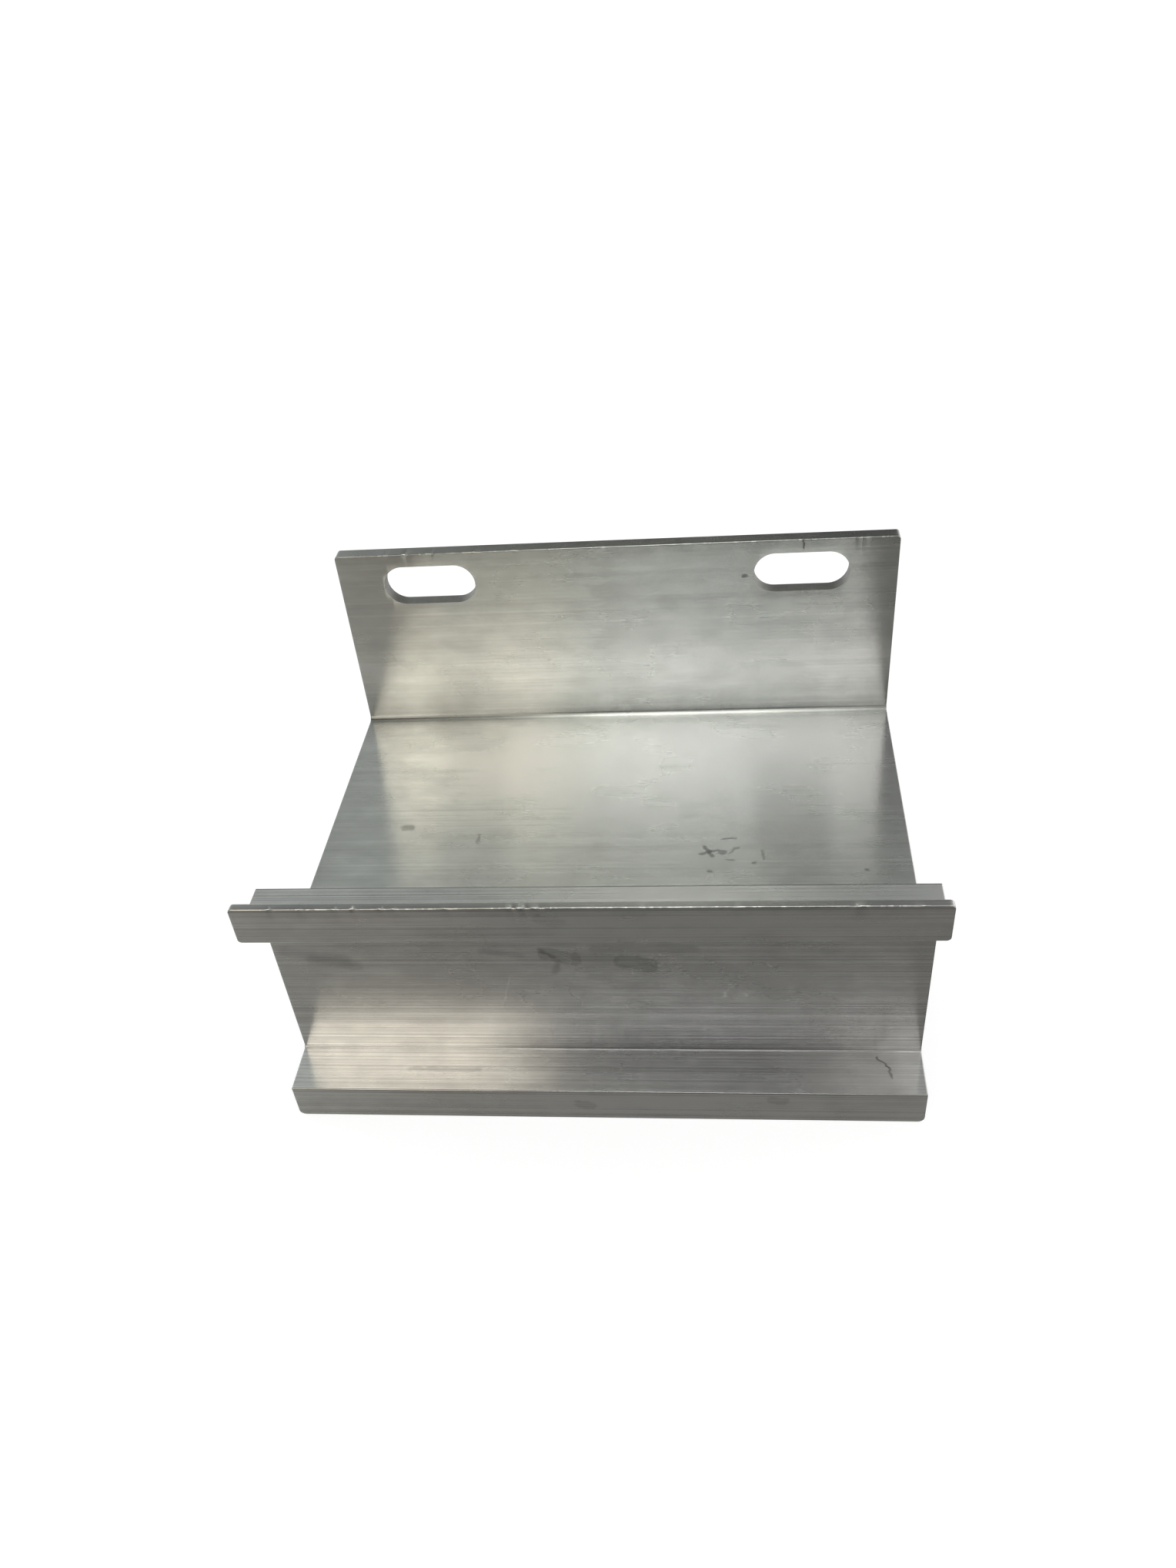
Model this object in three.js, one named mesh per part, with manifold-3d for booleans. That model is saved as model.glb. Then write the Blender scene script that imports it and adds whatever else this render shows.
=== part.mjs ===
// A slotted mounting bracket: one saw-cut length of an aluminium extrusion.
//
// X runs along the extrusion, +Y points into the wall and +Z up, in millimetres. The origin is on the
// back of the wall flange, midway between the two bolt slots and level with them.
//
// Seen from the end, an upright wall flange turns into a level plate. The plate meets the middle of a
// shallow channel that opens forwards, and each side of the channel ends in a lip turned outwards.
import * as THREE from "three";
import { mergeVertices } from "three/addons/utils/BufferGeometryUtils.js";
import Module from "manifold-3d";

// The cut length, and the heavier walls that carry the load.
const LENGTH = 150;
const PLATE_THICKNESS = 4;
const FLANGE_THICKNESS = 4;
const FLANGE_RISE = 52.5; // from the plate's top face to the flange's top edge

// The front channel, with the plate at its middle.
const PROJECTION = 108.5; // from the wall to the floor of the channel
const CHANNEL_WIDTH = 49; // clear, between its two sides
const CHANNEL_DEPTH = 13.5; // from its floor to the front of the lips
const CHANNEL_WALL = 2;
const LIP_SPAN = 68.5; // from the tip of one lip to the tip of the other

// Two round-ended slots for M10 bolts, long enough to shift the bracket sideways.
const SLOT_WIDTH = 11;
const SLOT_LENGTH = 25;
const SLOT_PITCH = 100;
const SLOT_TO_EDGE = 9.25; // from the slots' centre line to the flange's top edge

// Rounds: the die's own along the section, and those filed on the free corners after sawing.
const FOLD_ROUND = 1.5; // inside the bend from flange to plate
const INNER_ROUND = 0.8;
const EDGE_ROUND = 0.4;
const CORNER_ROUND = 1;
const LOWER_CORNER_ROUND = 1.6;
const ARC_STEPS = 3; // a section round is drawn in twice as many straight steps
const SLOT_ARC_STEPS = 10;

// Section lines across the depth, from the wall forwards.
const wallFace = 0;
const flangeFront = wallFace - FLANGE_THICKNESS;
const webFront = wallFace - PROJECTION;
const webBack = webFront + CHANNEL_WALL;
const lipFront = webFront - CHANNEL_DEPTH;
const lipBack = lipFront + CHANNEL_WALL;

// Section lines up the height.
const flangeTop = SLOT_TO_EDGE;
const plateTop = flangeTop - FLANGE_RISE;
const plateUnderside = plateTop - PLATE_THICKNESS;
const middle = (plateTop + plateUnderside) / 2;
const upperSideInside = middle + CHANNEL_WIDTH / 2;
const upperSideOutside = upperSideInside + CHANNEL_WALL;
const lowerSideInside = middle - CHANNEL_WIDTH / 2;
const lowerSideOutside = lowerSideInside - CHANNEL_WALL;
const lipTop = middle + LIP_SPAN / 2;
const lipBottom = middle - LIP_SPAN / 2;

const wasm = await Module();
wasm.setup();

// An outline with square corners, each given as [across, up, radius] and rounded by an arc.
function roundedOutline(corners) {
  const shape = new THREE.Shape();
  corners.forEach(([across, up, radius], i) => {
    const corner = new THREE.Vector2(across, up);
    const previous = new THREE.Vector2(...corners.at(i - 1));
    const next = new THREE.Vector2(...corners[(i + 1) % corners.length]);
    const back = previous.sub(corner).normalize();
    const ahead = next.sub(corner).normalize();
    const centre = corner.clone().addScaledVector(back, radius).addScaledVector(ahead, radius);
    const turnsRight = back.cross(ahead) > 0;
    const start = Math.atan2(-ahead.y, -ahead.x);
    const end = Math.atan2(-back.y, -back.x);
    shape.absarc(centre.x, centre.y, radius, start, end, turnsRight);
  });
  return shape;
}

// The extrusion's section, with Y across and Z up, anticlockwise from the foot of the flange.
function section() {
  return roundedOutline([
    [wallFace, plateUnderside, EDGE_ROUND],
    [wallFace, flangeTop, EDGE_ROUND],
    [flangeFront, flangeTop, EDGE_ROUND],
    [flangeFront, plateTop, FOLD_ROUND],
    [webBack, plateTop, INNER_ROUND],
    [webBack, upperSideOutside, EDGE_ROUND],
    [lipBack, upperSideOutside, INNER_ROUND],
    [lipBack, lipTop, EDGE_ROUND],
    [lipFront, lipTop, EDGE_ROUND],
    [lipFront, upperSideInside, EDGE_ROUND],
    [webFront, upperSideInside, INNER_ROUND],
    [webFront, lowerSideInside, INNER_ROUND],
    [lipFront, lowerSideInside, EDGE_ROUND],
    [lipFront, lipBottom, EDGE_ROUND],
    [lipBack, lipBottom, EDGE_ROUND],
    [lipBack, lowerSideOutside, INNER_ROUND],
    [webBack, lowerSideOutside, EDGE_ROUND],
    [webBack, plateUnderside, INNER_ROUND],
  ]);
}

// A shape drawn with Y across and Z up, pushed along X and centred on it.
function pushAlongX(shape, length) {
  const geometry = new THREE.ExtrudeGeometry(shape, {
    depth: length,
    bevelEnabled: false,
    curveSegments: ARC_STEPS,
  });
  const acrossUpAlong = new THREE.Matrix4().makeBasis(
    new THREE.Vector3(0, 1, 0),
    new THREE.Vector3(0, 0, 1),
    new THREE.Vector3(1, 0, 0),
  );
  return geometry.translate(0, 0, -length / 2).applyMatrix4(acrossUpAlong);
}

// A shape drawn with X across and Z up, pushed from one Y to another with 1 mm to spare each way.
function pushAlongY(shape, front, back, steps) {
  const spare = 1;
  const geometry = new THREE.ExtrudeGeometry(shape, {
    depth: back - front + 2 * spare,
    bevelEnabled: false,
    curveSegments: steps,
  });
  return geometry.rotateX(Math.PI / 2).translate(0, back + spare, 0);
}

// A round-ended slot through the flange, centred on x.
function slotCutter(x) {
  const radius = SLOT_WIDTH / 2;
  const reach = (SLOT_LENGTH - SLOT_WIDTH) / 2;
  const shape = new THREE.Shape();
  shape.absarc(x + reach, 0, radius, -Math.PI / 2, Math.PI / 2, false);
  shape.absarc(x - reach, 0, radius, Math.PI / 2, (3 * Math.PI) / 2, false);
  return pushAlongY(shape, flangeFront, wallFace, SLOT_ARC_STEPS);
}

// What is filed off a free corner at one end: the square corner less its round. side is the end,
// -1 or 1 along X, and up is 1 for a corner that points up and -1 for one that points down.
function cornerCutter(side, up, z, front, back, radius) {
  const end = (side * LENGTH) / 2;
  const beyond = 1;
  const topAngle = (up * Math.PI) / 2;
  const endAngle = side > 0 ? 0 : up * Math.PI;
  const clockwise = side * up > 0;
  const shape = new THREE.Shape();
  shape.absarc(end - side * radius, z - up * radius, radius, topAngle, endAngle, clockwise);
  shape.lineTo(end + side * beyond, z - up * radius);
  shape.lineTo(end + side * beyond, z + up * beyond);
  shape.lineTo(end - side * radius, z + up * beyond);
  return pushAlongY(shape, front, back, ARC_STEPS);
}

function toSolid(geometry) {
  const bare = geometry.clone().deleteAttribute("normal").deleteAttribute("uv");
  const merged = mergeVertices(bare);
  const mesh = new wasm.Mesh({
    numProp: 3,
    vertProperties: merged.getAttribute("position").array,
    triVerts: new Uint32Array(merged.index.array),
  });
  return new wasm.Manifold(mesh);
}

function toGeometry(solid) {
  const { vertProperties, triVerts } = solid.getMesh();
  const geometry = new THREE.BufferGeometry();
  geometry.setAttribute("position", new THREE.BufferAttribute(vertProperties, 3));
  geometry.setIndex(new THREE.BufferAttribute(triVerts, 1));
  geometry.computeVertexNormals();
  return geometry;
}

function bracketExtrusion() {
  const cutters = [-1, 1].flatMap((side) => [
    slotCutter((side * SLOT_PITCH) / 2),
    cornerCutter(side, 1, flangeTop, flangeFront, wallFace, CORNER_ROUND),
    cornerCutter(side, 1, lipTop, lipFront, lipBack, CORNER_ROUND),
    cornerCutter(side, -1, lipBottom, lipFront, lipBack, LOWER_CORNER_ROUND),
  ]);
  const bar = toSolid(pushAlongX(section(), LENGTH));
  const cut = cutters.reduce((solid, cutter) => solid.subtract(toSolid(cutter)), bar);
  const mesh = new THREE.Mesh(
    toGeometry(cut),
    new THREE.MeshStandardMaterial({ color: 0xb3b3af, metalness: 1, roughness: 0.42 }),
  );
  mesh.name = "bracket_extrusion";
  return mesh;
}

const bracket = new THREE.Group();
bracket.add(bracketExtrusion());

export default bracket;
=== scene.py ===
"""A slotted mounting bracket, one saw-cut length of aluminium extrusion, on a pale studio floor.

The bracket is drawn in millimetres and made in metres, in the row frame: X along the extrusion,
+Y into the wall, +Z up, with the origin on the wall face, level with the two bolt slots.
"""

import math

import bmesh
import bpy
from mathutils import Matrix, Vector


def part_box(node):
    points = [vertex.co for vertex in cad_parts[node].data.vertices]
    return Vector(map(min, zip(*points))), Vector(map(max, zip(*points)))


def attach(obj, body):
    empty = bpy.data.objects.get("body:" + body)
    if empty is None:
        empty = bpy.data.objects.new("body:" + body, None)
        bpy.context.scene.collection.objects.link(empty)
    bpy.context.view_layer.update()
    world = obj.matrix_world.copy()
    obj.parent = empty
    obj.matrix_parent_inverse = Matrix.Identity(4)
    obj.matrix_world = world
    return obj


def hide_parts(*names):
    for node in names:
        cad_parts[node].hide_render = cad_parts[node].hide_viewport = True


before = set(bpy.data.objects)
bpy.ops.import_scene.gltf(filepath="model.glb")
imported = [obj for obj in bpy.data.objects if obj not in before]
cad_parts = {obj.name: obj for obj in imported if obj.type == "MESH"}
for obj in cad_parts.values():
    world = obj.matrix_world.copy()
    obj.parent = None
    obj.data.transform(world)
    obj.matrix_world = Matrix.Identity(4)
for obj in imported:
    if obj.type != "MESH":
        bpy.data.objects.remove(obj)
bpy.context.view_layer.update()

MM = 0.001
NODE = "bracket_extrusion"

# The section's thicknesses and widths, in millimetres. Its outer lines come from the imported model.
FLANGE_THICKNESS = 4
PLATE_THICKNESS = 4
FLANGE_RISE = 52.5
CHANNEL_WIDTH = 49
CHANNEL_DEPTH = 13.5
CHANNEL_WALL = 2

SLOT_WIDTH = 11
SLOT_LENGTH = 25
SLOT_PITCH = 100
SLOT_EDGE_ROUND = 0.12

FOLD_ROUND = 1.5
INNER_ROUND = 0.8
EDGE_ROUND = 0.25
END_ROUND = 0.22  # the deburred edge round each saw cut
CORNER_ROUND = 1
LOWER_CORNER_ROUND = 1.6

CORNER_BLEND = 3  # how far from a free corner its round spreads up or down
CORNER_HOLD = 0.5  # how much of that moves with the corner in full

ARC_STEPS = 6
SLOT_ARC_STEPS = 32
SLOT_FLARE_STEPS = 4
RUN_STEP = 4  # between the points of a straight run
RUN_GUARD = 0.12  # from a run's last point to the round that follows
STATION_STEP = 1.25  # between sections along the extrusion
SHARP_FOLD = 32  # degrees between two faces above which their edge stays sharp

NICK_REACH = 0.7  # half a nick's length
NICK_DEPTH_REACH = 0.9  # how far a nick spreads from the edge
NICK_CLEARANCE = 0.3  # between a nick's own sections and the evenly spaced ones

low, high = (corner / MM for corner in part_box(NODE))
half_length = high.x
wall_face = high.y
flange_front = wall_face - FLANGE_THICKNESS
lip_front = low.y
lip_back = lip_front + CHANNEL_WALL
web_front = lip_front + CHANNEL_DEPTH
web_back = web_front + CHANNEL_WALL
flange_top = high.z
plate_top = flange_top - FLANGE_RISE
plate_underside = plate_top - PLATE_THICKNESS
middle = (plate_top + plate_underside) / 2
upper_side_inside = middle + CHANNEL_WIDTH / 2
upper_side_outside = upper_side_inside + CHANNEL_WALL
lower_side_inside = middle - CHANNEL_WIDTH / 2
lower_side_outside = lower_side_inside - CHANNEL_WALL
lip_bottom = low.z
lip_top = 2 * middle - lip_bottom


# ---------------------------------------------------------------------------------- the section

GROOVE_WIDTH = 0.32


def die_groove(z, depth):
    """The corners of a shallow groove in the channel's floor at that height."""
    flat = [(web_front, z - share * GROOVE_WIDTH, 0) for share in (-1, -0.5, 0.5, 1)]
    return [*flat[:2], (web_front + depth, z, 0), *flat[2:]]


def section_corners():
    """The section's corners as (y, z, radius), anticlockwise as seen from +X."""
    return [
        (wall_face, plate_underside, EDGE_ROUND),
        (wall_face, flange_top, EDGE_ROUND),
        (flange_front, flange_top, EDGE_ROUND),
        (flange_front, plate_top, FOLD_ROUND),
        (web_back, plate_top, INNER_ROUND),
        (web_back, upper_side_outside, EDGE_ROUND),
        (lip_back, upper_side_outside, INNER_ROUND),
        (lip_back, lip_top, EDGE_ROUND),
        (lip_front, lip_top, EDGE_ROUND),
        (lip_front, upper_side_inside, EDGE_ROUND),
        (web_front, upper_side_inside, INNER_ROUND),
        *die_groove(plate_top + 6.5, depth=0.025),
        *die_groove(plate_underside - 0.5, depth=0.02),
        (web_front, lower_side_inside, INNER_ROUND),
        (lip_front, lower_side_inside, EDGE_ROUND),
        (lip_front, lip_bottom, EDGE_ROUND),
        (lip_back, lip_bottom, EDGE_ROUND),
        (lip_back, lower_side_outside, INNER_ROUND),
        (web_back, lower_side_outside, EDGE_ROUND),
        (web_back, plate_underside, INNER_ROUND),
    ]


def right_of(direction):
    return Vector((direction.y, -direction.x))


def corner_points(before, corner, after, radius):
    """The (point, outward normal) pairs that round one corner of the outline."""
    arriving = (corner - before).normalized()
    leaving = (after - corner).normalized()
    turn = math.atan2(arriving.cross(leaving), arriving.dot(leaving))
    if radius == 0:
        return [(corner, right_of((arriving + leaving).normalized()))]
    side = math.copysign(1, turn)
    tangent = radius * math.tan(abs(turn) / 2)
    centre = corner - arriving * tangent - side * radius * right_of(arriving)
    points = []
    for step in range(ARC_STEPS + 1):
        normal = right_of(arriving)
        normal.rotate(Matrix.Rotation(turn * step / ARC_STEPS, 2))
        points.append((centre + side * radius * normal, normal))
    return points


def run_points(start, end):
    """Points along a straight run, with some close to each end so that its shading stays flat."""
    length = (end - start).length
    if length < 4 * RUN_GUARD:
        return []
    run_normal = right_of((end - start).normalized())
    margin = NICK_DEPTH_REACH if length > 4 * NICK_DEPTH_REACH else RUN_GUARD
    steps = max(1, round((length - 2 * margin) / RUN_STEP))
    reach = [margin + (length - 2 * margin) * step / steps for step in range(steps + 1)]
    if margin > RUN_GUARD:
        reach = [RUN_GUARD, *reach, length - RUN_GUARD]
    return [(start.lerp(end, distance / length), run_normal) for distance in reach]


def section_outline():
    """The rounded outline as (point, outward normal) pairs, with long runs split into short steps."""
    corners = section_corners()
    places = [Vector(corner[:2]) for corner in corners]
    rounded = [
        corner_points(places[i - 1], places[i], places[(i + 1) % len(places)], corners[i][2])
        for i in range(len(corners))
    ]
    outline = []
    for i, points in enumerate(rounded):
        outline += points
        start = points[-1][0]
        end = rounded[(i + 1) % len(rounded)][0][0]
        outline += run_points(start, end)
    return outline


# ------------------------------------------------------------------------------------- the sweep

# Knocks on the front edges of the upper lip and the flange: how far along X, and how deep.
LIP_NICKS = {
    -65.7: 0.22, -58.9: 0.12, -51.3: 0.2, -47.5: 0.26, -41.3: 0.18, -38.5: 0.14, -27.4: 0.1,
    -14.3: 0.2, -11.6: 0.24, -8.7: 0.16, 12.9: 0.1, 31.8: 0.12, 55.8: 0.24, 68.2: 0.12,
}
FLANGE_NICKS = {
    -60.6: 0.12, -55.2: 0.16, -48.4: 0.1, -36.2: 0.12, -25.1: 0.1, 20.3: 0.08, 64.4: 0.14, 66: 0.1,
}
NICKED_EDGES = [(lip_front, lip_top, LIP_NICKS), (flange_front, flange_top, FLANGE_NICKS)]


def nick_depth(x, y, z):
    """How far a knock presses one point of the section inwards."""
    deepest = 0
    for edge_y, edge_z, nicks in NICKED_EDGES:
        from_edge = math.hypot(y - edge_y, z - edge_z) / NICK_DEPTH_REACH
        if from_edge > 1:
            continue
        for place, depth in nicks.items():
            along = abs(x - place) / NICK_REACH
            if along < 1:
                deepest = max(deepest, depth * (1 - along ** 2) * (1 - from_edge ** 2))
    return deepest


def arc_drop(distance_from_end, radius):
    """How far a corner of that radius has fallen away, this far from the end of the extrusion."""
    past = radius - distance_from_end
    if past <= 0:
        return 0
    return radius - math.sqrt(max(radius ** 2 - past ** 2, 0))


def stations():
    """Places along X, evenly spaced in the middle and closer together towards each cut end."""
    from_end = [2, 1.6, 1.2, 0.9, 0.65, 0.45, 0.32, END_ROUND, 0.14, 0.08, 0.035, 0.01, 0]
    reach = half_length - from_end[0]
    count = round(2 * reach / STATION_STEP)
    inner = [-reach + 2 * reach * i / count for i in range(1, count)]
    outer = [half_length - distance for distance in from_end]
    at_nicks = [
        place + offset * NICK_REACH
        for place in {**LIP_NICKS, **FLANGE_NICKS}
        for offset in (-1, 0, 1)
    ]
    inner = [x for x in inner if all(abs(x - place) > NICK_CLEARANCE for place in at_nicks)]
    return sorted([-x for x in outer] + inner + at_nicks + outer)


def smooth_step(low_value, high_value, value):
    share = min(max((value - low_value) / (high_value - low_value), 0), 1)
    return share * share * (3 - 2 * share)


def near_corner(z, corner, inwards):
    """1 at a free corner's height, falling to 0 further in. inwards is 1 for a corner below."""
    hold = corner + inwards * CORNER_HOLD
    clear = corner + inwards * CORNER_BLEND
    if inwards > 0:
        return 1 - smooth_step(hold, clear, z)
    return smooth_step(clear, hold, z)


def free_corner_drop(x, y, z):
    """How far the filed corners of the flange and the lips move a point up or down."""
    small = arc_drop(half_length - abs(x), CORNER_ROUND)
    large = arc_drop(half_length - abs(x), LOWER_CORNER_ROUND)
    slack = 0.01
    if y > flange_front - slack:
        return -small * near_corner(z, flange_top, -1)
    if y < lip_back + slack:
        under_upper = near_corner(z, upper_side_inside, 1) if z > middle else 0
        upper = near_corner(z, lip_top, -1)
        return large * near_corner(z, lip_bottom, 1) + small * under_upper - small * upper
    return 0


def swept_point(x, point, normal):
    """Where one point of the outline lies on the section at x, in millimetres."""
    from_end = half_length - abs(x)
    inwards = arc_drop(from_end, END_ROUND) + nick_depth(x, point.x, point.y)
    y, z = point - normal * inwards
    z += free_corner_drop(x, y, z)
    return Vector((x, y, z))


def bare_extrusion():
    """The bracket without its slots, as a closed mesh in metres."""
    outline = section_outline()
    bm = bmesh.new()
    rings = [
        [bm.verts.new(swept_point(x, point, normal) * MM) for point, normal in outline]
        for x in stations()
    ]
    for ring, following in zip(rings, rings[1:]):
        for i in range(len(ring)):
            bm.faces.new((ring[i - 1], ring[i], following[i], following[i - 1]))
    bm.faces.new(reversed(rings[0]))
    bm.faces.new(rings[-1])
    mesh = bpy.data.meshes.new(NODE)
    bm.to_mesh(mesh)
    bm.free()
    return mesh


def slot_loop(x, y, grow):
    """The outline of a slot, this much wider all round, at one depth."""
    radius = SLOT_WIDTH / 2 + grow
    reach = (SLOT_LENGTH - SLOT_WIDTH) / 2
    loop = []
    for centre, start in ((x + reach, -90), (x - reach, 90)):
        for step in range(SLOT_ARC_STEPS + 1):
            angle = math.radians(start + 180 * step / SLOT_ARC_STEPS)
            loop.append(Vector((centre + radius * math.cos(angle), y, radius * math.sin(angle))))
    return loop


def slot_cutter(x):
    """A slot's cutter, which flares at both faces of the flange to round the slot's edges."""
    beyond = 1
    flare = []
    for step in range(SLOT_FLARE_STEPS + 1):
        angle = math.radians(90 * step / SLOT_FLARE_STEPS)
        depth = SLOT_EDGE_ROUND * (1 - math.cos(angle))
        grow = SLOT_EDGE_ROUND * (1 - math.sin(angle))
        flare.append((depth, grow))
    front = [(flange_front + depth, grow) for depth, grow in flare]
    back = [(wall_face - depth, grow) for depth, grow in reversed(flare)]
    depths = [
        (flange_front - beyond, SLOT_EDGE_ROUND), *front, *back, (wall_face + beyond, SLOT_EDGE_ROUND)
    ]
    bm = bmesh.new()
    loops = [[bm.verts.new(p * MM) for p in slot_loop(x, y, grow)] for y, grow in depths]
    for loop, following in zip(loops, loops[1:]):
        for i in range(len(loop)):
            bm.faces.new((loop[i - 1], loop[i], following[i], following[i - 1]))
    bm.faces.new(reversed(loops[0]))
    bm.faces.new(loops[-1])
    bmesh.ops.recalc_face_normals(bm, faces=bm.faces)
    mesh = bpy.data.meshes.new("slot_cutter")
    bm.to_mesh(mesh)
    bm.free()
    cutter = bpy.data.objects.new("slot_cutter", mesh)
    bpy.context.scene.collection.objects.link(cutter)
    return cutter


def cut_slots(bracket):
    """Takes both slots out of the bracket's mesh."""
    cutters = [slot_cutter(side * SLOT_PITCH / 2) for side in (-1, 1)]
    for cutter in cutters:
        cut = bracket.modifiers.new("slot", "BOOLEAN")
        cut.object = cutter
        cut.operation = "DIFFERENCE"
        cut.solver = "EXACT"
    evaluated = bracket.evaluated_get(bpy.context.evaluated_depsgraph_get())
    bracket.data = bpy.data.meshes.new_from_object(evaluated)
    bracket.modifiers.clear()
    for cutter in cutters:
        bpy.data.objects.remove(cutter)


def in_slot_wall(centre):
    """Whether a face centre, in millimetres, lies on a slot's wall or on the round of its edge."""
    inside_flange = flange_front + 0.02 < centre.y < wall_face - 0.02
    along = abs(abs(centre.x) - SLOT_PITCH / 2) < SLOT_LENGTH / 2 + SLOT_EDGE_ROUND
    return inside_flange and along and abs(centre.z) < SLOT_WIDTH / 2 + SLOT_EDGE_ROUND


def finish_surfaces(bracket, finishes):
    """Gives each face its finish and shades the rounds smooth, with sharp folds left sharp."""
    for finish in finishes:
        bracket.data.materials.append(finish)
    bm = bmesh.new()
    bm.from_mesh(bracket.data)
    for face in bm.faces:
        face.smooth = True
        if abs(face.normal.x) > 0.9 and half_length - abs(face.calc_center_median().x) / MM < 0.02:
            face.material_index = 1
        elif in_slot_wall(face.calc_center_median() / MM):
            face.material_index = 2
    for edge in bm.edges:
        same_finish = len({face.material_index for face in edge.link_faces}) == 1
        edge.smooth = same_finish and edge.calc_face_angle(0) < math.radians(SHARP_FOLD)
    bm.to_mesh(bracket.data)
    bm.free()


# --------------------------------------------------------------------------------- the materials

class Nodes:
    """A node tree with short calls for the nodes that the finishes share."""

    def __init__(self, name):
        self.material = bpy.data.materials.new(name)
        self.material.use_nodes = True
        self.tree = self.material.node_tree
        self.shader = self.tree.nodes["Principled BSDF"]

    def add(self, kind, **settings):
        node = self.tree.nodes.new(kind)
        for setting, value in settings.items():
            setattr(node, setting, value)
        return node

    def put(self, socket, value):
        """Links a socket into another, or sets a plain value."""
        if isinstance(value, bpy.types.NodeSocket):
            self.tree.links.new(value, socket)
        else:
            socket.default_value = value

    def millimetres(self):
        """The row frame's coordinates in millimetres."""
        coordinates = self.add("ShaderNodeTexCoord")
        return self.vector("SCALE", coordinates.outputs["Object"], scale=1 / MM)

    def vector(self, operation, a, b=None, scale=None):
        node = self.add("ShaderNodeVectorMath", operation=operation)
        self.put(node.inputs[0], a)
        if b is not None:
            self.put(node.inputs[1], b)
        if scale is not None:
            node.inputs["Scale"].default_value = scale
        return node.outputs["Value" if operation in ("LENGTH", "DOT_PRODUCT") else "Vector"]

    def math(self, operation, a, b=0.0, clamp=False):
        node = self.add("ShaderNodeMath", operation=operation, use_clamp=clamp)
        self.put(node.inputs[0], a)
        self.put(node.inputs[1], b)
        return node.outputs[0]

    def product(self, *values):
        total = values[0]
        for value in values[1:]:
            total = self.math("MULTIPLY", total, value)
        return total

    def scaled(self, vector, amount):
        """A vector or colour times an amount that varies over the surface."""
        result = self.vector("SCALE", vector)
        self.put(result.node.inputs["Scale"], amount)
        return result

    def noise(self, place, stretch, detail=2.0, roughness=0.5):
        """Noise from 0 to 1 with that many cells a millimetre along X, Y and Z."""
        node = self.add("ShaderNodeTexNoise")
        self.put(node.inputs["Vector"], self.vector("MULTIPLY", place, stretch))
        node.inputs["Scale"].default_value = 1
        node.inputs["Detail"].default_value = detail
        node.inputs["Roughness"].default_value = roughness
        return node.outputs["Fac"]

    def noise_vector(self, place, stretch):
        """Noise from 0 to 1 in each direction by itself."""
        return self.noise(place, stretch, detail=1).node.outputs["Color"]

    def between(self, value, from_low, from_high, to_low, to_high, smooth=False):
        node = self.add("ShaderNodeMapRange", interpolation_type="SMOOTHSTEP" if smooth else "LINEAR")
        for socket, number in zip(node.inputs, (value, from_low, from_high, to_low, to_high)):
            self.put(socket, number)
        return node.outputs[0]

    def mix_colour(self, share, a, b):
        node = self.add("ShaderNodeMix", data_type="RGBA")
        self.put(node.inputs["Factor"], share)
        self.put(node.inputs[6], a)
        self.put(node.inputs[7], b)
        return node.outputs[2]

    def split(self, vector):
        node = self.add("ShaderNodeSeparateXYZ")
        self.put(node.inputs[0], vector)
        return node.outputs[0], node.outputs[1], node.outputs[2]

    def join(self, x, y, z):
        node = self.add("ShaderNodeCombineXYZ")
        for socket, value in zip(node.inputs, (x, y, z)):
            self.put(socket, value)
        return node.outputs[0]

    def blend_values(self, share, a, b):
        node = self.add("ShaderNodeMix", data_type="FLOAT")
        for i, value in ((0, share), (2, a), (3, b)):
            self.put(node.inputs[i], value)
        return node.outputs[0]

    def curve(self, value, points):
        """A smooth curve through (place, value) points, in rising order."""
        low_place, high_place = points[0][0], points[-1][0]
        node = self.add("ShaderNodeFloatCurve")
        self.put(node.inputs["Value"], self.between(value, low_place, high_place, 0, 1))
        line = node.mapping.curves[0]
        for place, height in points[1:-1]:
            line.points.new((place - low_place) / (high_place - low_place), height / CURVE_TOP)
        line.points[0].location = (0, points[0][1] / CURVE_TOP)
        line.points[-1].location = (1, points[-1][1] / CURVE_TOP)
        node.mapping.update()
        return self.math("MULTIPLY", node.outputs[0], CURVE_TOP)

    def specks(self, place, stretch, radius, share):
        """Small spots, 1 at their middle, in that share of the cells."""
        node = self.add("ShaderNodeTexVoronoi")
        self.put(node.inputs["Vector"], self.vector("MULTIPLY", place, stretch))
        node.inputs["Scale"].default_value = 1
        spot = self.between(node.outputs["Distance"], radius, 0, 0, 1)
        chosen = self.math("LESS_THAN", self.split(node.outputs["Color"])[0], share)
        return self.math("MULTIPLY", spot, chosen)

    def bump(self, height, distance, strength):
        node = self.add("ShaderNodeBump")
        self.put(node.inputs["Height"], height)
        node.inputs["Distance"].default_value = distance * MM
        node.inputs["Strength"].default_value = strength
        return node.outputs["Normal"]


def window(n, value, first, last, softness):
    """1 between first and last, with soft edges."""
    rise = n.between(value, first - softness / 2, first + softness / 2, 0, 1, smooth=True)
    fall = n.between(value, last - softness / 2, last + softness / 2, 1, 0, smooth=True)
    return n.product(rise, fall)


CURVE_TOP = 2  # the highest value that a band curve can hold
METAL_COLOUR = (0.8, 0.8, 0.8)
# The plate and the flange get a slightly greener metal colour: a painted tint of the greenish reflections
# there.
UPPER_METAL_TINTED_COLOUR = (0.787, 0.8, 0.787)  # on the plate and the flange
# The cut ends are darker than the mill finish, partly as a sawn face and partly as painted shade that
# holds down the side light on them.
SAWN_SHADED_COLOUR = (0.62, 0.62, 0.61)
# The slot walls are much darker than the mill finish: partly their duller milled face, partly painted
# shade inside the slots.
SLOT_SHADED_COLOUR = (0.46, 0.46, 0.45)
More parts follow.
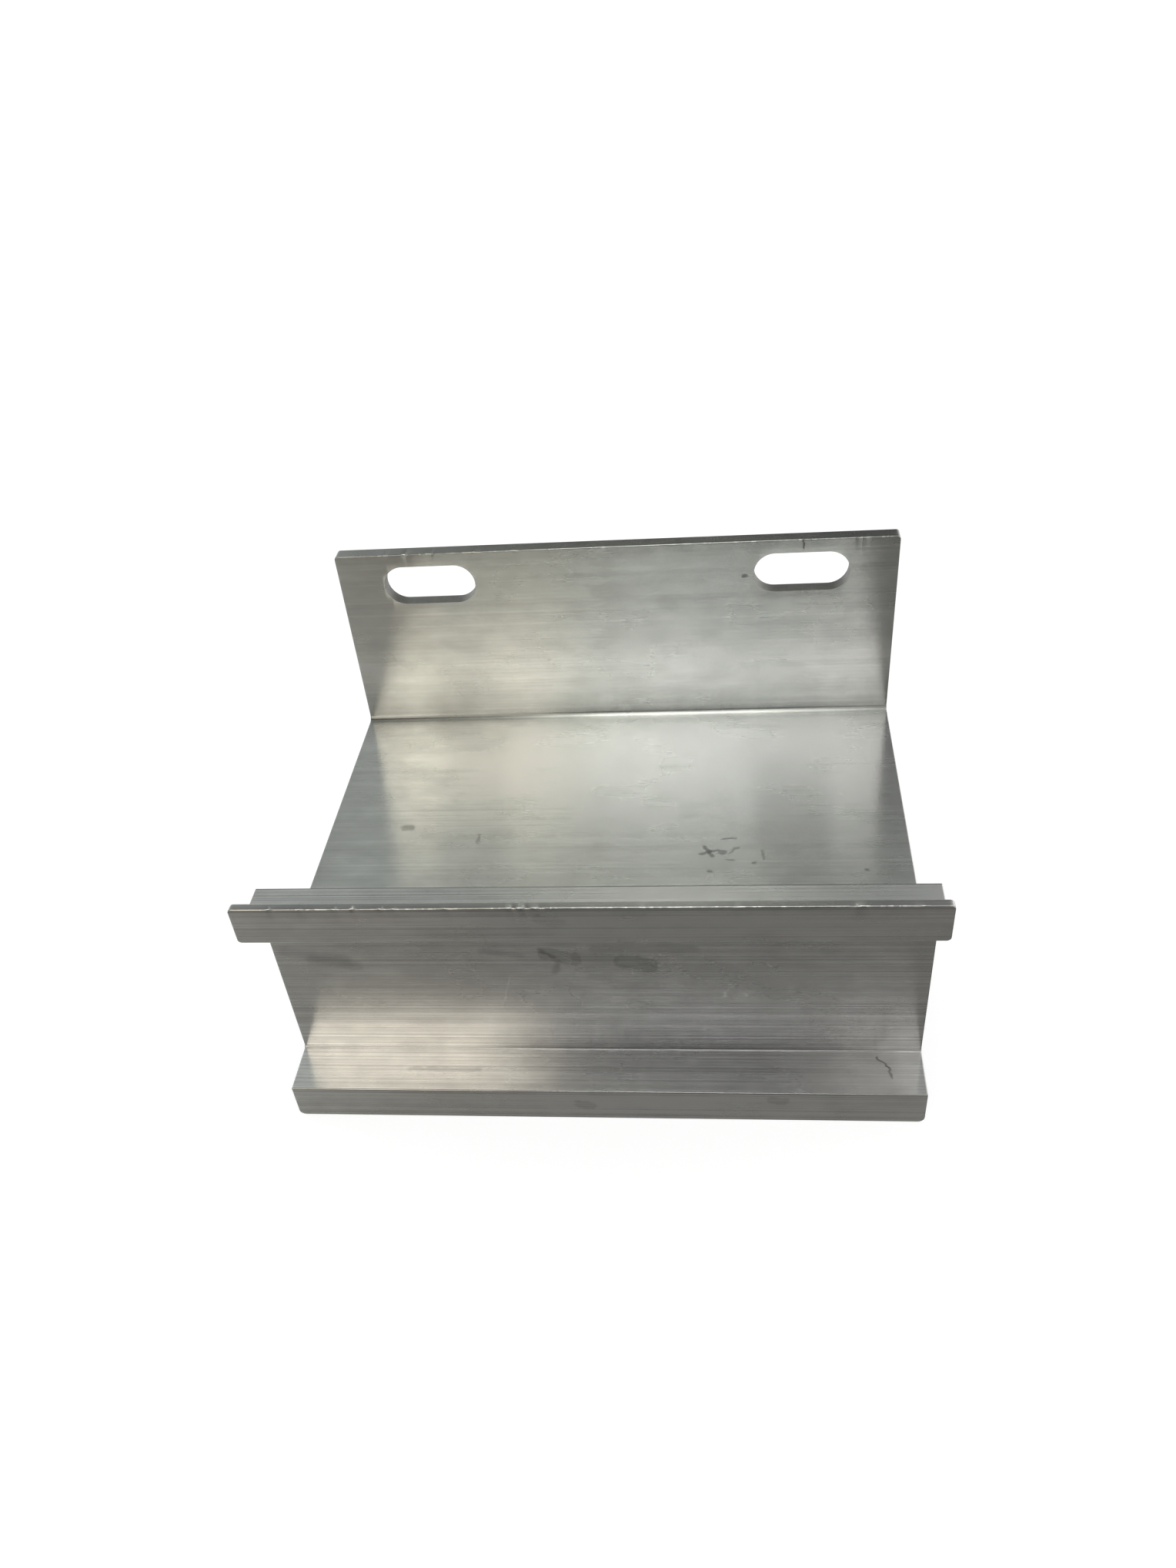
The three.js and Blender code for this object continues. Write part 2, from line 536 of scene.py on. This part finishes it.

# How bright the flange is by Z and the plate by Y: partly the finish's own bands, partly painted
# reflections that the tent doesn't give.
FLANGE_BANDS = [
    (plate_top, 0.78), (plate_top + 6, 0.92), (plate_top + 13, 1.15), (plate_top + 18, 1.21),
    (plate_top + 25, 1.08), (plate_top + 36, 0.98), (plate_top + 46, 0.94), (flange_top, 0.84),
]
PLATE_BANDS = [
    (web_back, 1.08), (web_back + 29, 1.08), (web_back + 50, 1.13), (web_back + 75, 1.2),
    (web_back + 86, 1.22), (web_back + 94, 1.18), (web_back + 99, 1.02), (flange_front, 0.82),
]

# How bright each face is along X, face by face: partly the finish's uneven tone, partly painted
# reflections that the tent doesn't give.
FLANGE_ALONG = [(-75, 1), (-62, 0.97), (-50, 0.78), (-30, 0.82), (-6, 0.98), (30, 1.03), (75, 0.97)]
PLATE_ALONG = [(-75, 0.74), (-58, 0.92), (-40, 1.04), (-5, 1.08), (40, 1.08), (75, 1.1)]
SHELF_ALONG = [(-75, 0.98), (-30, 1.1), (20, 1.22), (75, 1.24)]
LIP_ALONG = [(-75, 1.04), (-30, 1.14), (10, 1.22), (75, 1.1)]
FOOT_ALONG = [(-75, 1.12), (-30, 1.04), (5, 1.14), (40, 1.04), (75, 1)]

# Painted shade lines along the whole extrusion, darkening its folds, the shelf's back edge, the tops of
# the lip and flange and the lips' front edges: what they are, their Y range, their Z range and their tone.
PAINTED_SHADE_LINES = [
    ("back edge of the shelf",
     (web_back - 0.45, web_back + 0.5), (upper_side_outside - 0.5, upper_side_outside + 1), 0.5),
    ("top of the upper lip", (lip_front + 0.25, lip_back - 0.3), (lip_top - 0.1, lip_top + 1), 0.62),
    ("under the lip's edge", (lip_front - 1, lip_front + 0.3), (lip_top - 1.0, lip_top - 0.3), 0.8),
    ("top of the flange", (flange_front + 0.25, 1), (flange_top - 0.1, flange_top + 1), 0.8),
    ("fold of the plate",
     (flange_front - 0.7, flange_front + 0.5), (plate_top - 0.5, plate_top + 0.9), 0.55),
    ("fold of the foot",
     (web_front - 0.35, web_front + 0.5), (lower_side_inside - 0.5, lower_side_inside + 0.35), 0.45),
    ("edge of the foot",
     (lip_front - 1, lip_front + 0.3), (lower_side_inside - 0.4, lower_side_inside + 1), 0.75),
]
LINE_SOFTNESS = 0.12


# Marks from handling: where each starts and ends in millimetres, its half-width, the softness of its
# edge and its tone, which is below 1 for a dark mark and above 1 for a bright one.
MARKS = [
    ("scratch over the right slot", (50.2, flange_front, 9), (50.3, flange_front, 6.8), 0.18, 0.25, 0.42),
    ("spot by the right slot", (35, flange_front, -0.6), (35.5, flange_front, -0.6), 0.3, 0.5, 0.55),
    ("smudge on the flange", (-4.5, flange_front, -3.5), (0.5, flange_front, -3.2), 1, 2.6, 0.92),
    ("second smudge", (14, flange_front, -8), (16, flange_front, -9), 0.8, 2, 0.93),
    ("oval on the plate", (-54.8, -55.3, plate_top), (-53.3, -55.5, plate_top), 0.5, 1.3, 0.6),
    ("line on the plate", (-34.3, -59, plate_top), (-34.3, -62, plate_top), 0.2, 0.35, 0.7),
    ("bright scratch on the plate", (-13.9, -58.2, plate_top), (-13.2, -60.6, plate_top), 0.12, 0.3, 1.3),
    ("star's first arm", (24.2, -64.6, plate_top), (26.4, -68.2, plate_top), 0.25, 0.5, 0.55),
    ("star's second arm", (23.4, -67.4, plate_top), (27.4, -66, plate_top), 0.2, 0.5, 0.55),
    ("arc above the star", (28.4, -61.6, plate_top), (32, -61.4, plate_top), 0.22, 0.4, 0.62),
    ("pit beside the star", (28.2, -66.6, plate_top), (29, -67, plate_top), 0.45, 0.6, 0.6),
    ("arm beside the star", (30.6, -66.9, plate_top), (32.4, -65, plate_top), 0.2, 0.4, 0.66),
    ("dash beside the star", (29.6, -69.6, plate_top), (31.4, -69.9, plate_top), 0.2, 0.35, 0.66),
    ("pit in front of the star", (25.5, -74, plate_top), (25.9, -74, plate_top), 0.3, 0.45, 0.6),
    ("pit right of the star", (36.4, -70.8, plate_top), (36.8, -70.8, plate_top), 0.3, 0.45, 0.62),
    ("curl right of the star", (38.6, -66.4, plate_top), (38.9, -69.6, plate_top), 0.18, 0.35, 0.76),
    ("pit on the right", (63.3, -74, plate_top), (63.7, -74, plate_top), 0.3, 0.45, 0.62),
    ("stain's left lobe", (-11, web_front, -37.6), (-5, web_front, -39.4), 1.7, 0.5, 0.8),
    ("stain's dark spot", (-12.4, web_front, -36.6), (-9.4, web_front, -38.4), 0.3, 0.5, 0.7),
    ("stain's tail", (-8.6, web_front, -40.4), (-9.6, web_front, -43.4), 0.6, 0.5, 0.82),
    ("stain's bridge", (-4, web_front, -38.6), (4, web_front, -39.4), 1, 0.6, 0.88),
    ("stain's right lobe", (6.4, web_front, -39.9), (12.2, web_front, -41.2), 1.9, 0.5, 0.8),
    ("stain under the lip", (0, web_front, -35.6), (22, web_front, -36.2), 0.5, 1.4, 0.88),
    ("smear on the left", (-72, web_front, -36.4), (-58, web_front, -39.7), 0.5, 2.2, 0.84),
    ("smear's second half", (-66, web_front, -39.2), (-56, web_front, -41.4), 0.4, 2, 0.87),
    ("smear by the stain", (-26, web_front, -36.8), (-17, web_front, -38), 0.3, 1, 0.84),
    ("nick by the lip", (39.1, web_front, -40.8), (39.4, web_front, -41.6), 0.15, 0.2, 1.6),
    ("nick on the right", (34, web_front, -50.4), (34.2, web_front, -51.4), 0.15, 0.2, 1.6),
    ("nick low on the web", (24.1, web_front, -62.6), (24.4, web_front, -63.4), 0.15, 0.2, 1.5),
    ("scratch on the right", (30.6, web_front, -47), (28.8, web_front, -52), 0.08, 0.16, 1.2),
    ("long scratch", (-20, web_front, -44.2), (-23.4, web_front, -55.6), 0.08, 0.16, 1.16),
    ("wiggly scratch's start",
     (64.6, -111.1, lower_side_inside), (66.8, -113.6, lower_side_inside), 0.16, 0.3, 0.5),
    ("wiggly scratch's end",
     (66.8, -113.6, lower_side_inside), (67.6, -116.9, lower_side_inside), 0.14, 0.3, 0.55),
    ("rub on the foot", (-47, -115.4, lower_side_inside), (-30, -115.6, lower_side_inside), 0.3, 0.7, 0.8),
    ("stain on the foot's front", (-5.4, lip_front, -74.2), (-2.6, lip_front, -74.9), 0.9, 0.8, 0.84),
    ("stain on the right", (39.8, lip_front, -72.1), (42.4, lip_front, -72.6), 0.8, 0.8, 0.84),
    ("stain on the lip", (-8.8, lip_front, -14.2), (-4.6, lip_front, -14.9), 0.9, 0.8, 0.88),
]


def mark_tone(n, place, normal):
    """Darkens or brightens the finish at each mark, with slightly ragged edges."""
    ragged = n.vector("SUBTRACT", n.noise_vector(place, (0.7, 0.9, 0.9)), (0.5, 0.5, 0.5))
    in_face = n.vector("CROSS_PRODUCT", normal, n.vector("SCALE", ragged, scale=1.5))
    ragged_place = n.vector("ADD", place, in_face)
    total = 1.0
    for _, start, end, half_width, softness, tone in MARKS:
        run = Vector(end) - Vector(start)
        from_start = n.vector("SUBTRACT", ragged_place, start)
        along = n.vector("DOT_PRODUCT", from_start, run)
        nearest = n.scaled(run, n.math("DIVIDE", along, run.length_squared, clamp=True))
        distance = n.vector("LENGTH", n.vector("SUBTRACT", from_start, nearest))
        share_tone = n.between(distance, half_width, half_width + softness, tone, 1, smooth=True)
        total = n.product(total, share_tone)
    return total


def nick_shine(n, place):
    """Where the upper lip's and the flange's edges are knocked to bare metal; there the edges' painted
    shade is left out, so their highlight shows as glints.
    """
    x, y, z = n.split(place)
    total = 0.0
    for edge_y, edge_z, nicks in NICKED_EDGES:
        in_y = window(n, y, edge_y - 1, edge_y + 0.5, 0.2)
        edge = n.product(in_y, window(n, z, edge_z - 0.5, edge_z + 1, 0.2))
        for nick in nicks:
            shine = n.product(edge, window(n, x, nick - NICK_REACH, nick + NICK_REACH, 0.5))
            total = n.math("MAXIMUM", total, shine)
    return total


def face_share(n, place, normal, facing, level_axis, level):
    """1 on the flat face that looks along that axis at that level, and 0 elsewhere."""
    axis, sign = facing
    looks = n.between(n.split(normal)[axis], sign * 0.6, sign * 0.8, 0, 1)
    off_level = n.math("ABSOLUTE", n.math("SUBTRACT", n.split(place)[level_axis], level))
    return n.product(looks, n.math("LESS_THAN", off_level, 0.6))


def finish_and_reflection_bands(n, place, normal):
    """The bright and dull bands on each face that the front shows: partly the finish's own bands, partly
    painted reflections.
    """
    x, y, z = n.split(place)
    on_flange = face_share(n, place, normal, (1, -1), 1, flange_front)
    on_plate = face_share(n, place, normal, (2, 1), 2, plate_top)
    on_shelf = face_share(n, place, normal, (2, 1), 2, upper_side_outside)
    on_lips = face_share(n, place, normal, (1, -1), 1, lip_front)
    on_foot = face_share(n, place, normal, (2, 1), 2, lower_side_inside)
    flange_tone = n.product(n.curve(z, FLANGE_BANDS), n.curve(x, FLANGE_ALONG))
    plate_tone = n.product(n.curve(y, PLATE_BANDS), n.curve(x, PLATE_ALONG))
    tone = n.blend_values(on_flange, 1.0, flange_tone)
    tone = n.blend_values(on_plate, tone, plate_tone)
    tone = n.blend_values(on_shelf, tone, n.curve(x, SHELF_ALONG))
    tone = n.blend_values(on_lips, tone, n.curve(x, LIP_ALONG))
    return n.blend_values(on_foot, tone, n.curve(x, FOOT_ALONG))


def painted_line_shade(n, place):
    """The thin dark lines of painted shade that run along the whole extrusion, in its folds and along its
    edges.
    """
    _, y, z = n.split(place)
    total = 1.0
    for _, (back, front), (lowest, highest), tone in PAINTED_SHADE_LINES:
        in_y = window(n, y, back, front, LINE_SOFTNESS)
        share = n.product(in_y, window(n, z, lowest, highest, LINE_SOFTNESS))
        total = n.product(total, n.between(share, 0, 1, 1, tone))
    return total


def edge_wear_and_shade(n, place):
    """Darkens the front edges of the flange and the upper lip, less towards the left end and not at nicks
    and rubbed stretches: partly dull wear, partly painted shade that dims their highlight into broken
    glints.
    """
    x, y, z = n.split(place)
    edges = []
    for edge_y, edge_z, _ in NICKED_EDGES:
        in_y = window(n, y, edge_y - 1, edge_y + 0.3, 0.1)
        edges.append(n.product(in_y, window(n, z, edge_z - 0.3, edge_z + 1, 0.1)))
    rubbed = n.between(n.noise(place, (0.9, 0.3, 0.3), detail=3, roughness=0.75), 0.5, 0.62, 0, 1)
    brighter_left_end = n.between(x, -half_length + 14, -half_length + 4, 0, 0.7)
    bare = n.math("MAXIMUM", rubbed, nick_shine(n, place))
    dull = n.math("SUBTRACT", 1, n.math("MAXIMUM", bare, brighter_left_end))
    share = n.product(n.math("MAXIMUM", *edges), dull)
    return n.between(share, 0, 1, 1, 0.65)


def mill_aluminium():
    """Bare extruded aluminium: die lines along X, soft oxide blotches, specks and handling marks, with
    painted reflection bands, painted shade along its folds and front edges and a painted green tint on the
    plate and flange.
    """
    n = Nodes("mill_aluminium")
    place = n.millimetres()
    normal = n.add("ShaderNodeNewGeometry").outputs["Normal"]
    n.put(n.shader.inputs["Tangent"], n.vector("CROSS_PRODUCT", normal, (1, 0, 0)))

    hair_lines = n.noise(place, (0.003, 3.6, 3.6), detail=1, roughness=0.6)
    die_lines = n.noise(place, (0.0015, 1.3, 1.3), detail=2, roughness=0.6)
    broad_lines = n.noise(place, (0.001, 0.35, 0.35), detail=1, roughness=0.5)
    fade = n.between(n.noise(place, (0.02, 0.06, 0.06), detail=1), 0.35, 0.65, 0.3, 1)
    clouds = n.noise(place, (0.05, 0.09, 0.09), detail=2, roughness=0.5)
    blotches = n.noise(place, (0.14, 0.22, 0.22), detail=1, roughness=0.5)
    mottle = n.noise(place, (0.6, 1.1, 1.1), detail=1, roughness=0.5)
    speck_patches = n.between(n.noise(place, (0.05, 0.12, 0.12), detail=2), 0.5, 0.64, 0, 1)
    specks = n.product(n.specks(place, (0.7, 1.6, 1.6), 0.3, share=0.3), speck_patches)

    # The lines are deeper on the front channel than on the plate and flange, most so low on its floor.
    _, y, z = n.split(place)
    on_upper = n.between(y, web_back - 0.5, web_back, 0, 1)
    in_front = n.math("SUBTRACT", 1, on_upper)
    low_web = n.product(window(n, z, lower_side_inside - 1, plate_underside - 5, 4), in_front)
    line_depth = n.math("ADD", n.between(low_web, 0, 1, 0, 0.08), n.between(in_front, 0, 1, 0.07, 0.19))
    hair_depth = n.math("ADD", n.between(low_web, 0, 1, 0, 0.05), n.between(in_front, 0, 1, 0.03, 0.12))
    lines = n.product(n.between(die_lines, 0.3, 0.7, -1, 1), fade)
    hairs = n.product(n.between(hair_lines, 0.3, 0.7, -1, 1), hair_depth)
    # The tone holds painted reflections in the bands and painted shade in the lines and along the front
    # edges, besides the finish's own lines, blotches, specks and marks.
    tone = n.product(
        finish_and_reflection_bands(n, place, normal),
        painted_line_shade(n, place),
        edge_wear_and_shade(n, place),
        mark_tone(n, place, normal),
        n.math("ADD", 1, n.product(lines, line_depth)),
        n.math("ADD", 1, hairs),
        n.between(broad_lines, 0.3, 0.7, 0.96, 1.04),
        n.between(clouds, 0.3, 0.7, 0.94, 1.06),
        n.between(blotches, 0.25, 0.75, 0.94, 1.06),
        n.between(mottle, 0.3, 0.7, 0.985, 1.015),
        n.between(specks, 0, 1, 1, 0.72),
    )
    # The greener colour on the plate and the flange is a painted reflection tint.
    metal = n.mix_colour(on_upper, METAL_COLOUR + (1,), UPPER_METAL_TINTED_COLOUR + (1,))
    n.put(n.shader.inputs["Base Color"], n.scaled(metal, tone))

    rough = n.math("ADD", n.between(clouds, 0.3, 0.7, 0.28, 0.25), n.between(lines, -1, 1, -0.006, 0.006))
    n.put(n.shader.inputs["Roughness"], rough)
    n.shader.inputs["Metallic"].default_value = 1
    n.shader.inputs["Anisotropic"].default_value = 0.95

    n.put(n.shader.inputs["Normal"], n.bump(hair_lines, distance=0.008, strength=0.15))
    return n.material


def saw_cut():
    """The cut ends, with the fine curved marks of a circular saw."""
    n = Nodes("saw_cut")
    place = n.millimetres()
    _, y, z = n.split(place)
    blade_centre = (0, lip_front - 90, lip_bottom - 60)
    from_blade = n.vector("LENGTH", n.vector("SUBTRACT", n.join(0, y, z), blade_centre))
    wobble = n.product(n.noise(place, (0.2, 0.2, 0.2), detail=1), 3)
    arcs = n.noise(n.join(n.math("ADD", from_blade, wobble), 0, 0), (2.6, 1, 1), detail=3, roughness=0.7)
    smears = n.noise(place, (0.3, 0.5, 0.5), detail=3)
    tone = n.product(
        n.between(arcs, 0.3, 0.7, 0.84, 1.08),
        n.between(smears, 0.3, 0.7, 0.92, 1.06),
    )
    n.put(n.shader.inputs["Base Color"], n.scaled(SAWN_SHADED_COLOUR, tone))
    n.put(n.shader.inputs["Roughness"], n.between(arcs, 0.3, 0.7, 0.44, 0.32))
    n.shader.inputs["Metallic"].default_value = 1
    n.put(n.shader.inputs["Normal"], n.bump(arcs, distance=0.05, strength=0.6))
    return n.material


def milled_slot():
    """The slots' walls, with the cutter's marks straight through the flange, in a colour darkened partly
    with painted shade.
    """
    n = Nodes("milled_slot")
    place = n.millimetres()
    cutter_marks = n.noise(place, (4, 0.1, 4), detail=2, roughness=0.6)
    smears = n.noise(place, (0.5, 0.8, 0.5), detail=2)
    tone = n.product(
        n.between(cutter_marks, 0.3, 0.7, 0.9, 1.08),
        n.between(smears, 0.3, 0.7, 0.92, 1.08),
    )
    n.put(n.shader.inputs["Base Color"], n.scaled(SLOT_SHADED_COLOUR, tone))
    n.put(n.shader.inputs["Roughness"], n.between(cutter_marks, 0.3, 0.7, 0.5, 0.62))
    n.shader.inputs["Metallic"].default_value = 1
    n.put(n.shader.inputs["Normal"], n.bump(cutter_marks, distance=0.03, strength=0.4))
    return n.material


def make_bracket():
    bracket = bpy.data.objects.new("bracket", bare_extrusion())
    bpy.context.scene.collection.objects.link(bracket)
    cut_slots(bracket)
    finish_surfaces(bracket, [mill_aluminium(), saw_cut(), milled_slot()])
    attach(bracket, "root")
    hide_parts(NODE)
    return bracket


# ------------------------------------------------------------------------------------ the studio

CAMERA_PLACE = (30.69, -310.15, 162.9)  # millimetres
CAMERA_AZIMUTH = 8.543  # degrees, from +Y towards -X
CAMERA_ELEVATION = 41.016
CAMERA_ROLL = 6.131
CAMERA_LENS = 29.04
CAMERA_SHIFT_Y = 0.0593


def make_camera():
    camera = bpy.data.objects.new("camera", bpy.data.cameras.new("camera"))
    bpy.context.scene.collection.objects.link(camera)
    camera.location = Vector(CAMERA_PLACE) * MM
    camera.rotation_euler = (
        Matrix.Rotation(math.radians(CAMERA_AZIMUTH), 3, "Z")
        @ Matrix.Rotation(math.radians(90 - CAMERA_ELEVATION), 3, "X")
        @ Matrix.Rotation(math.radians(-CAMERA_ROLL), 3, "Z")
    ).to_euler()
    camera.data.lens = CAMERA_LENS
    camera.data.shift_y = CAMERA_SHIFT_Y
    camera.data.clip_start = 0.01
    bpy.context.scene.camera = camera


def make_floor():
    """A pale floor under the lower lip, kept out of the metal's reflections."""
    mesh = bpy.data.meshes.new("floor")
    reach = 6
    level = lip_bottom * MM
    corners = [(-reach, -reach), (reach, -reach), (reach, reach), (-reach, reach)]
    mesh.from_pydata([(x, y, level) for x, y in corners], [], [(0, 1, 2, 3)])
    floor = bpy.data.objects.new("floor", mesh)
    bpy.context.scene.collection.objects.link(floor)
    floor.visible_glossy = False
    n = Nodes("floor_paper")
    n.shader.inputs["Base Color"].default_value = (0.35, 0.35, 0.35, 1)
    n.shader.inputs["Roughness"].default_value = 1
    n.shader.inputs["Specular IOR Level"].default_value = 0
    n.shader.inputs["Emission Color"].default_value = (1, 1, 1, 1)
    n.shader.inputs["Emission Strength"].default_value = 0.75
    mesh.materials.append(n.material)


TENT_CENTRE = (0, -60, -35)  # millimetres
TENT_RADIUS = 360

# The tent's soft lights: (first and last azimuth, softness, first and last elevation, softness,
# colour). Degrees; azimuth 0 is the tent's front, behind the camera, and grows towards +X.
TENT_LIGHTS = {
    "overhead": (-360, 360, 10, 81, 120, 31, (2.53, 2.53, 2.08)),
    "overhead_left": (-38, -14, 18, 68, 92, 15, (2.6, 2.6, 2.2)),
    "overhead_right": (-33, 54, 25, 60, 99, 11, (2.6, 2.6, 2.55)),
    "key": (-42, -14.5, 1.5, 7, 52, 7, (1.62, 1.5, 1.27)),
    "left_wall": (-156, -48, 44, -60, 52, 10, (0.41, 0.43, 0.41)),
    "right_box": (15.5, 68, 5, 1, 53, 4, (0.54, 0.52, 0.49)),
    "right_wall": (51, 142, 35, -11, 58, 23, (0.72, 0.71, 0.68)),
    "front_floor": (-69, 55, 24, -67, -24, 10, (0.19, 0.187, 0.173)),
    "rear_floor": (103, 244, 30, -92, -35, 25, (0.5, 0.56, 0.56)),
    "rear_wall": (110, 250, 30, -35, 15, 15, (0.5, 0.5, 0.5)),
    "rear_top": (97, 263, 26, 54, 75, 11, (0.3, 0.33, 0.32)),
    "camera_side": (-14.5, 15.5, 3, -5, 50, 8, (0.1, 0.1, 0.1)),
}


def tent_cloth():
    """White cloth that glows by itself, brighter towards the soft lights, so that its brightness varies by
    direction.
    """
    n = Nodes("tent_cloth")
    n.tree.nodes.remove(n.shader)
    emission = n.add("ShaderNodeEmission")
    n.put(n.tree.nodes["Material Output"].inputs["Surface"], emission.outputs[0])
    x, y, z = n.split(n.vector("SUBTRACT", n.millimetres(), TENT_CENTRE))
    azimuth = n.math("DEGREES", n.math("ARCTAN2", x, n.product(y, -1)))
    elevation = n.math("DEGREES", n.math("ARCSINE", n.math("DIVIDE", z, TENT_RADIUS)))
    rear_azimuth = n.math("FLOORED_MODULO", azimuth, 360)
    glow = (0, 0, 0)
    for first, last, side_softness, lowest, highest, softness, colour in TENT_LIGHTS.values():
        share = window(n, elevation, lowest, highest, softness)
        if last - first < 360:
            around = rear_azimuth if last > 180 else azimuth
            share = n.product(share, window(n, around, first, last, side_softness))
        glow = n.vector("ADD", n.scaled(colour, share), glow)
    n.put(emission.inputs["Color"], glow)
    return n.material


def make_tent():
    """A light tent round the bracket and the camera, which only reflections see."""
    bm = bmesh.new()
    bmesh.ops.create_uvsphere(bm, u_segments=48, v_segments=24, radius=TENT_RADIUS * MM)
    bmesh.ops.translate(bm, verts=bm.verts, vec=Vector(TENT_CENTRE) * MM)
    mesh = bpy.data.meshes.new("tent")
    bm.to_mesh(mesh)
    bm.free()
    mesh.materials.append(tent_cloth())
    tent = bpy.data.objects.new("tent", mesh)
    bpy.context.scene.collection.objects.link(tent)
    tent.visible_camera = False
    tent.visible_diffuse = False
    tent.visible_shadow = False


def make_world():
    """Even white light, which lights the floor and stands behind it."""
    world = bpy.data.worlds.new("studio")
    bpy.context.scene.world = world
    world.use_nodes = True
    world.node_tree.nodes["Background"].inputs["Color"].default_value = (1, 1, 1, 1)


make_camera()
make_floor()
make_world()
make_tent()
make_bracket()
bpy.context.scene.view_settings.view_transform = "Standard"
